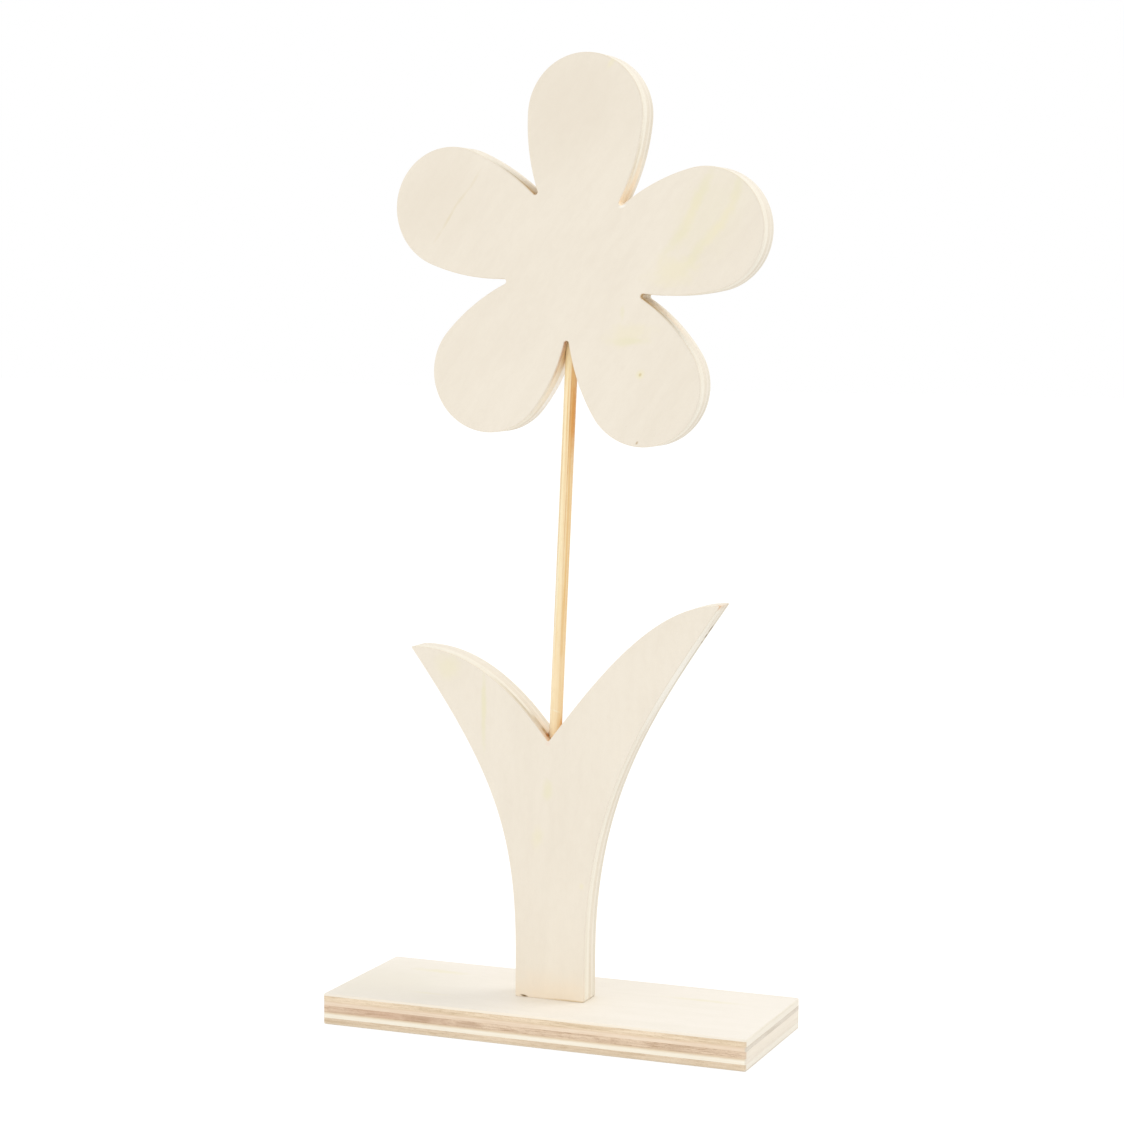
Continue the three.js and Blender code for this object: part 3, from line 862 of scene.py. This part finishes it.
def screw_material():
    material, tree, shader = new_material("yellow passivated steel")
    place = add_node(tree, "TexCoord").outputs["Object"]
    blotches = between(tree, grain_noise(tree, place, (420, 420, 420), 3.0, 0.6), 0.35, 0.68)
    scratches = between(tree, grain_noise(tree, place, (4200, 900, 2600), 2.0), 0.3, 0.7, 0.22, 0.42)
    tree.links.new(mix_colours(tree, blotches, SCREW_YELLOW, SCREW_BLOTCH), shader.inputs["Base Color"])
    tree.links.new(scratches, shader.inputs["Roughness"])
    shader.inputs["Metallic"].default_value = 1.0
    return material


# Outlines, each one flat face in its drawing plane
def angle_of(vector):
    return math.atan2(vector.y, vector.x)


def carry_round(bm, point, centre, angle, steps):
    """Carries the drawing point round a centre and leaves a run of short edges behind it."""
    made = bmesh.ops.spin(bm, geom=[point], cent=(*centre, 0), axis=(0, 0, 1), angle=angle, steps=steps)
    return next(item for item in made["geom_last"] if isinstance(item, bmesh.types.BMVert))


def close_outline(bm):
    bmesh.ops.remove_doubles(bm, verts=bm.verts, dist=OUTLINE_WELD)
    bmesh.ops.contextual_create(bm, geom=bm.edges[:])
    return bm


def petal_side(axis, centre, saw_cut, hand):
    """The wide arc of a petal's side: where it leaves the round end, its middle and its radius.
    It touches the round end of the saw cut."""
    start = axis - hand * (math.pi / 2 + PETAL_SIDE_TURN)
    outwards = ray(start)
    begins = centre + outwards * PETAL_RADIUS
    span = saw_cut - begins
    radius = (span.length_squared - SAW_CUT_RADIUS ** 2) / (2 * (SAW_CUT_RADIUS - span.dot(outwards)))
    return start, begins - outwards * radius, radius


def flower_outline():
    """Drawn from the notch that takes the stick."""
    axes, saw_cuts = flower_plan()
    centres = [ray(axis) * reach for axis, reach in zip(axes, PETAL_REACHES)]
    lefts = [petal_side(axes[i], centres[i], saw_cuts[i - 1], -1) for i in range(len(axes))]
    rights = [petal_side(axes[i], centres[i], saw_cuts[i], 1) for i in range(len(axes))]

    bm = bmesh.new()
    first_middle, first_radius = lefts[0][1:]
    begin = first_middle + ray(angle_of(saw_cuts[-1] - first_middle)) * first_radius
    point = bm.verts.new((*begin, 0))
    for i, centre in enumerate(centres):
        left_start, left_middle, left_radius = lefts[i]
        right_start, right_middle, right_radius = rights[i]
        next_middle = lefts[(i + 1) % len(lefts)][1]
        left_sweep = (angle_of(saw_cuts[i - 1] - left_middle) - left_start) % math.tau
        end_sweep = (left_start - right_start) % math.tau
        right_sweep = (right_start - angle_of(saw_cuts[i] - right_middle)) % math.tau
        cut_sweep = (angle_of(next_middle - saw_cuts[i]) - angle_of(right_middle - saw_cuts[i])) % math.tau
        for middle, sweep, radius in (
            (left_middle, left_sweep, left_radius),
            (centre, end_sweep, PETAL_RADIUS),
            (right_middle, right_sweep, right_radius),
        ):
            point = carry_round(bm, point, middle, -sweep, math.ceil(sweep * radius / OUTLINE_STEP))
        point = carry_round(bm, point, saw_cuts[i], cut_sweep, SAW_CUT_STEPS)
    close_outline(bm)
    bmesh.ops.translate(bm, verts=bm.verts, vec=(0, NOTCH_REACHES[STICK_NOTCH], 0))
    return bm


def leaf_outline():
    drawing = bpy.data.curves.new("leaf drawing", "CURVE")
    drawing.dimensions = "2D"
    drawing.fill_mode = "NONE"
    line = drawing.splines.new("BEZIER")
    line.bezier_points.add(len(LEAF_DRAWING) - 1)
    line.use_cyclic_u = True
    line.resolution_u = LEAF_CURVE_STEPS
    for knot, (place, before, after) in zip(line.bezier_points, LEAF_DRAWING):
        knot.handle_left_type = "FREE"
        knot.handle_right_type = "FREE"
        knot.co = (*place, 0)
        knot.handle_left = (*before, 0)
        knot.handle_right = (*after, 0)
    pattern = bpy.data.objects.new("leaf drawing", drawing)
    outline = bpy.data.meshes.new_from_object(pattern)
    bm = bmesh.new()
    bm.from_mesh(outline)
    bpy.data.objects.remove(pattern)
    bpy.data.curves.remove(drawing)
    bpy.data.meshes.remove(outline)
    bmesh.ops.dissolve_limit(bm, angle_limit=STRAIGHT_ANGLE, verts=bm.verts, edges=bm.edges)
    return close_outline(bm)


def base_outline():
    bm = bmesh.new()
    bmesh.ops.create_grid(bm, x_segments=1, y_segments=1, size=0.5)
    bmesh.ops.scale(bm, vec=(BASE_LENGTH, BASE_DEPTH, 1), verts=bm.verts)
    return bm


# Pieces
def to_object(bm, name):
    """Turns a drawn shape into an object of the scene."""
    mesh = bpy.data.meshes.new(name)
    bm.to_mesh(mesh)
    bm.free()
    made = bpy.data.objects.new(name, mesh)
    bpy.context.scene.collection.objects.link(made)
    return made


def bevel(bm, edges, width, steps):
    bmesh.ops.bevel(bm, geom=edges, offset=width, offset_type="OFFSET", segments=steps, profile=0.5,
                    affect="EDGES", material=-1, clamp_overlap=True)


def cut_ply(outline, low, high, corner, inner_corner, arris_low, arris_high):
    """One ply of a board: the outline thickened from one height to another. Upright corners are eased, and so
    are both rims: by a hair at a glue line, and to a sanded arris on the board's faces."""
    bm = outline.copy()
    bmesh.ops.translate(bm, verts=bm.verts, vec=(0, 0, low))
    raised = bmesh.ops.extrude_face_region(bm, geom=bm.faces[:])["geom"]
    top = [item for item in raised if isinstance(item, bmesh.types.BMVert)]
    bmesh.ops.translate(bm, verts=top, vec=(0, 0, high - low))
    bmesh.ops.recalc_face_normals(bm, faces=bm.faces)
    for width, convex in ((corner, True), (inner_corner, False)):
        corners = [
            edge for edge in bm.edges
            if abs(edge.verts[0].co.z - edge.verts[1].co.z) > SAME_HEIGHT and edge.is_convex == convex
            and edge.calc_face_angle() > CORNER_ANGLE
        ]
        if width and corners:
            bevel(bm, corners, width, CORNER_STEPS)
    for height, width in ((low, arris_low), (high, arris_high)):
        rim = [edge for edge in bm.edges if all(abs(vert.co.z - height) < SAME_HEIGHT for vert in edge.verts)]
        bevel(bm, rim, width, ARRIS_STEPS if width > GLUE_LINE else 1)
    return bm


def finish_piece(bm, name, place, material, slot, *nodes):
    """Puts a piece in its place in the room, with its finish, in place of its plain solids."""
    bmesh.ops.transform(bm, matrix=place, verts=bm.verts)
    piece = to_object(bm, name)
    piece.data.materials.append(material)
    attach(piece, "root")
    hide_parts(*nodes)
    return piece


def hide_tool(bm, place):
    """A drill or a cutter, which is thrown away after use."""
    bmesh.ops.transform(bm, matrix=place, verts=bm.verts)
    bmesh.ops.recalc_face_normals(bm, faces=bm.faces)
    return to_object(bm, "cutter")


def cut_away(pieces, cutter):
    """Cuts a cutter's shape out of the pieces and throws the cutter away."""
    for piece in pieces:
        cut = piece.modifiers.new("cut", "BOOLEAN")
        cut.operation = "DIFFERENCE"
        cut.solver = "EXACT"
        cut.object = cutter
        shaped = bpy.data.meshes.new_from_object(piece.evaluated_get(bpy.context.evaluated_depsgraph_get()))
        plain = piece.data
        piece.modifiers.remove(cut)
        piece.data = shaped
        bpy.data.meshes.remove(plain)
    tool = cutter.data
    bpy.data.objects.remove(cutter)
    bpy.data.meshes.remove(tool)


def keep_crisp(piece, largest_smooth=math.inf):
    """Shades a piece smooth, but keeps its real edges crisp and, round every flat face of more than the given
    square millimetres, the rim too, so that the face shades as truly flat."""
    bm = bmesh.new()
    bm.from_mesh(piece.data)
    large = {face for face in bm.faces if face.calc_area() > largest_smooth * MM * MM}
    for face in bm.faces:
        face.smooth = True
    for edge in bm.edges:
        edge.smooth = edge.calc_face_angle(0) < SHARP_ANGLE and large.isdisjoint(edge.link_faces)
    bm.to_mesh(piece.data)
    bm.free()


def saw_board(board, outline, place, plies, corner=0, inner_corner=0):
    """All the plies of one board, the first one lowest in its drawing plane."""
    pieces = {}
    low = -SHEET_THICKNESS / 2
    for ply, thickness in plies:
        high = low + thickness
        arris_low = ARRIS_RADIUS if ply == plies[0][0] else GLUE_LINE
        arris_high = ARRIS_RADIUS if ply == plies[-1][0] else GLUE_LINE
        bm = cut_ply(outline, low, high, corner, inner_corner, arris_low, arris_high)
        node = f"{board}_{ply}"
        pieces[ply] = finish_piece(
            bm, f"sawn_{node}", place, veneer_material(board, ply), PLY_SLOTS[ply], node)
        low = high
    outline.free()
    return pieces


def rod(radius, low, high):
    """A round rod along y."""
    bm = bmesh.new()
    bmesh.ops.create_cone(bm, cap_ends=True, segments=ROUND_SIDES, radius1=radius, radius2=radius,
                          depth=high - low)
    bmesh.ops.rotate(bm, cent=(0, 0, 0), matrix=Matrix.Rotation(math.pi / 2, 3, "X"), verts=bm.verts)
    bmesh.ops.translate(bm, vec=(0, (low + high) / 2, 0), verts=bm.verts)
    return bm


def turn_profile(profile):
    """Spins a profile of (radius, height) points round z to a closed body."""
    bm = bmesh.new()
    points = [bm.verts.new((radius, 0, height)) for radius, height in profile]
    for first, second in zip(points, points[1:]):
        bm.edges.new((first, second))
    bmesh.ops.spin(bm, geom=bm.verts[:] + bm.edges[:], cent=(0, 0, 0), axis=(0, 0, 1), angle=math.tau,
                   steps=ROUND_SIDES, use_merge=True)
    bmesh.ops.remove_doubles(bm, verts=bm.verts, dist=TURNED_WELD)
    bmesh.ops.recalc_face_normals(bm, faces=bm.faces)
    return bm


def make_stick():
    bm = rod(STICK_RADIUS, -STICK_IN_LEAF, STICK_SHOWN + STICK_IN_FLOWER)
    ends = [edge for edge in bm.edges if abs(edge.verts[0].co.y - edge.verts[1].co.y) < SAME_HEIGHT]
    bevel(bm, ends, STICK_CHAMFER, 1)
    keep_crisp(finish_piece(bm, "round_stick", stem_place(), stick_material(), "stick_wood", "stem_stick"))


def make_screw():
    cone = SCREW_HEAD_RADIUS - SCREW_RADIUS
    bm = turn_profile((
        (0, 0), (SCREW_HEAD_RADIUS, 0), (SCREW_HEAD_RADIUS, SCREW_HEAD_LIP),
        (SCREW_RADIUS, SCREW_HEAD_LIP + cone), (SCREW_RADIUS, SCREW_LENGTH - SCREW_POINT), (0, SCREW_LENGTH),
    ))
    place = above_foot(SCREW_SUNK) @ IN_METRES
    screw = finish_piece(bm, "countersunk_screw", place, screw_material(), "screw_steel", "base_screw")
    for width, depth in ((RECESS_WIDTH, RECESS_SLOT), (RECESS_SLOT, RECESS_WIDTH)):
        slot = bmesh.new()
        bmesh.ops.create_cube(slot, size=1)
        bmesh.ops.scale(slot, vec=(width, depth, 2 * RECESS_DEPTH), verts=slot.verts)
        cut_away([screw], hide_tool(slot, place))
    keep_crisp(screw)


def make_boards():
    base = saw_board("base", base_outline(), base_place(), SHEET[::-1], BASE_CORNER)
    leaf = saw_board("leaf", leaf_outline(), sheet_place(), SHEET, TIP_EASING, FORK_EASING)
    flower = saw_board("flower", flower_outline(), flower_place(), SHEET)

    for pieces, low, high in (
        (leaf, -LEAF_BORE_DEPTH, STICK_SHOWN),
        (flower, 0, STICK_SHOWN + FLOWER_BORE_DEPTH),
    ):
        drill = hide_tool(rod(BORE_RADIUS, low, high), stem_place())
        cut_away([pieces[ply] for ply in BORED_PLIES], drill)

    hole = SCREW_RADIUS + SCREW_CLEARANCE
    pilot_depth = SCREW_SUNK + SCREW_LENGTH + SCREW_TIP_GAP - SHEET_THICKNESS
    pilot = hide_tool(rod(hole, -TOOL_OVERLAP, pilot_depth), sheet_place())
    cut_away([leaf[ply] for ply in BORED_PLIES], pilot)
    sink = SCREW_HEAD_RADIUS + SCREW_CLEARANCE
    sink_depth = SCREW_SUNK + SCREW_HEAD_LIP
    through = SHEET_THICKNESS + TOOL_OVERLAP
    countersink = turn_profile((
        (0, -TOOL_OVERLAP), (sink, -TOOL_OVERLAP), (sink, sink_depth), (hole, sink_depth + sink - hole),
        (hole, through), (0, through),
    ))
    cut_away(base.values(), hide_tool(countersink, above_foot(0) @ IN_METRES))
    for piece in (*base.values(), *leaf.values(), *flower.values()):
        keep_crisp(piece, LARGEST_SMOOTH_FACE)


# Studio: the strengths of the room's light and of the white behind it, the lamps' colour, the point that they
# are aimed at, and the name, place, size and power of each soft box, in metres and watts
ROOM_STRENGTH = 0.88
BACKDROP_STRENGTH = 1.0
LAMP_COLOUR = (1.0, 0.99, 0.97)
LAMP_AIM = Vector((0, 0, 0.13))
SOFT_BOXES = (
    ("soft box right", (0.75, 0.45, 1.25), 0.6, 4.2),
    ("soft box left", (-0.75, -1.05, 0.32), 0.9, 2.5),
)
# Floor: half its size and how far it lies below the foot, in metres, then how bright it is for the light that
# falls on it and for the eye, and how much it glows
FLOOR_REACH = 6
FLOOR_DROP = 0.00005
FLOOR_LIT = 0.92
FLOOR_SEEN = 0.34
FLOOR_GLOW = 0.78


def set_studio():
    world = bpy.data.worlds.new("studio")
    bpy.context.scene.world = world
    tree = empty_tree(world)
    room = add_node(tree, "Background", {"Color": grey(1.0), "Strength": ROOM_STRENGTH})
    backdrop = add_node(tree, "Background", {"Color": grey(1.0), "Strength": BACKDROP_STRENGTH})
    both = add_node(tree, "MixShader", {0: seen_rays(tree), 1: room.outputs[0], 2: backdrop.outputs[0]})
    add_node(tree, "OutputWorld", {"Surface": both.outputs[0]})

    for name, place, size, power in SOFT_BOXES:
        lamp = bpy.data.lights.new(name, "AREA")
        lamp.size = size
        lamp.energy = power
        lamp.color = LAMP_COLOUR
        stand = bpy.data.objects.new(name, lamp)
        aim = LAMP_AIM - Vector(place)
        stand.matrix_world = Matrix.Translation(place) @ aim.to_track_quat("-Z", "Y").to_matrix().to_4x4()
        bpy.context.scene.collection.objects.link(stand)


def lay_floor():
    bm = bmesh.new()
    bmesh.ops.create_grid(bm, x_segments=1, y_segments=1, size=FLOOR_REACH)
    bmesh.ops.translate(bm, verts=bm.verts, vec=(0, 0, -FLOOR_DROP))
    floor = to_object(bm, "studio_floor")
    material = bpy.data.materials.new("white paper")
    tree = empty_tree(material)
    seen = seen_rays(tree)
    colour = mix_colours(tree, seen, grey(FLOOR_LIT), grey(FLOOR_SEEN))
    paper = add_node(tree, "BsdfDiffuse", {"Color": colour})
    shine = calculate(tree, "MULTIPLY", seen, FLOOR_GLOW)
    glow = add_node(tree, "Emission", {"Color": grey(1.0), "Strength": shine})
    both = add_node(tree, "AddShader", {0: paper.outputs[0], 1: glow.outputs[0]})
    add_node(tree, "OutputMaterial", {"Surface": both.outputs[0]})
    floor.data.materials.append(material)


place_camera()
make_boards()
make_stick()
make_screw()
set_studio()
lay_floor()
bpy.context.scene.view_settings.view_transform = "Standard"
